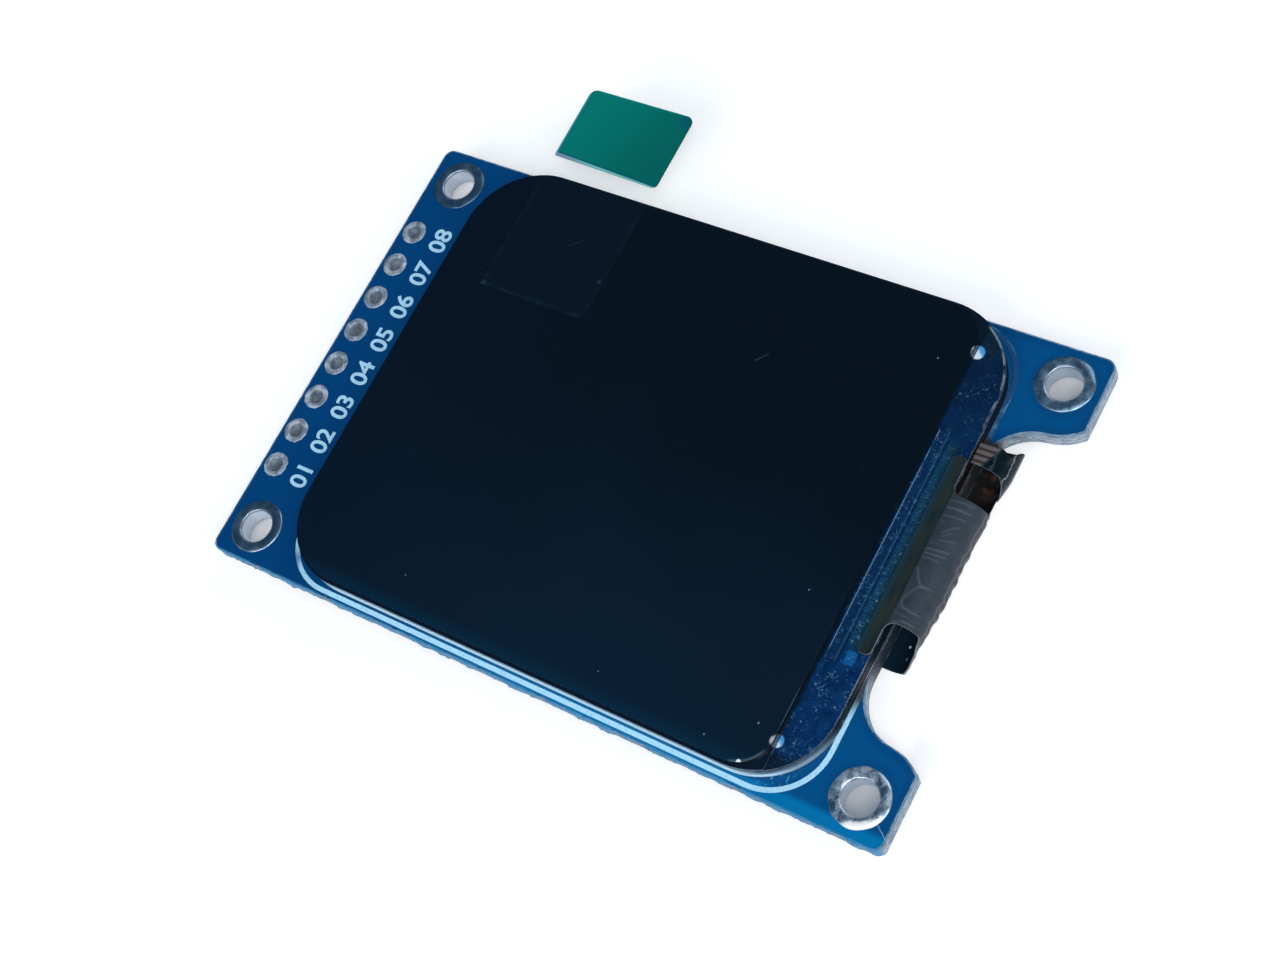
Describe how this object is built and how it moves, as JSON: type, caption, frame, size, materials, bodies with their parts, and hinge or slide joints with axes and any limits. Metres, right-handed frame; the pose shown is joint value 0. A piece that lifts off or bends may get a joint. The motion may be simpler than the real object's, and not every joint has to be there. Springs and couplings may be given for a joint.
{
  "type": "tft lcd module",
  "caption": "Small colour display panel with rounded corners, taped to a blue carrier board with mounting holes, a header row and a flex folded to the back.",
  "frame": {"origin": "centre of the four mounting holes, on the board's front face", "axes": "+Z out of the screen, +Y along the board to the row of header holes, +X across the board towards the side that the pull strip sticks out of"},
  "size_m": [0.0368, 0.0474, 0.004],
  "materials": {
    "board": "blue solder mask over glass-fibre board, glossy",
    "tinned_copper": "tinned copper, a little uneven",
    "white_print": "white board print",
    "panel_adhesive": "double-sided tape",
    "reflector": "silvered reflector sheet",
    "white_frame": "white moulded polycarbonate",
    "light_guide": "clear acrylic with a printed dot pattern",
    "lamps": "white packages with yellow phosphor windows",
    "lamp_flex": "amber polyimide",
    "diffuser": "milky film",
    "prism_film": "ribbed clear film",
    "black_tape": "black double-sided tape",
    "rear_polariser": "dark film",
    "array_glass": "thin glass with fine metal tracks, looking deep blue",
    "colour_filter_glass": "thin glass over a black matrix",
    "front_polariser": "near-black film",
    "driver_chip": "bare silicon, polished",
    "display_flex": "brown polyimide over copper, glossy and slightly creased",
    "solder": "bright solder",
    "protective_film": "clear protective film, with dust and fine scratches",
    "clear_strip": "clear tape",
    "green_grip": "green printed film",
    "package": "black moulding compound",
    "lead": "tinned leads",
    "capacitor": "tan ceramic with tinned ends",
    "resistor": "black coated ceramic with tinned ends"
  },
  "bodies": {
    "root": {"circuit_board": "board", "mounting_hole_platings": "tinned_copper", "panel_outline_print": "white_print", "panel_tape": "panel_adhesive", "reflector_film": "reflector", "backlight_frame": "white_frame", "light_guide": "light_guide", "backlight_lamps": "lamps", "backlight_flex": "lamp_flex", "diffuser_film": "diffuser", "lower_prism_film": "prism_film", "upper_prism_film": "prism_film", "rim_tape": "black_tape", "rear_polariser": "rear_polariser", "array_glass": "array_glass", "colour_filter_glass": "colour_filter_glass", "front_polariser": "front_polariser", "driver_chip": "driver_chip", "display_flex": "display_flex", "flex_solder_joints": "solder", "protective_film": "protective_film", "pull_strip": "clear_strip", "pull_strip_grip": "green_grip", "component_pads": "tinned_copper", "regulator_body": "package", "regulator_leads": "lead", "transistor_body": "package", "transistor_leads": "lead", "capacitors": "capacitor", "resistors": "resistor"}
  },
  "joints": []
}
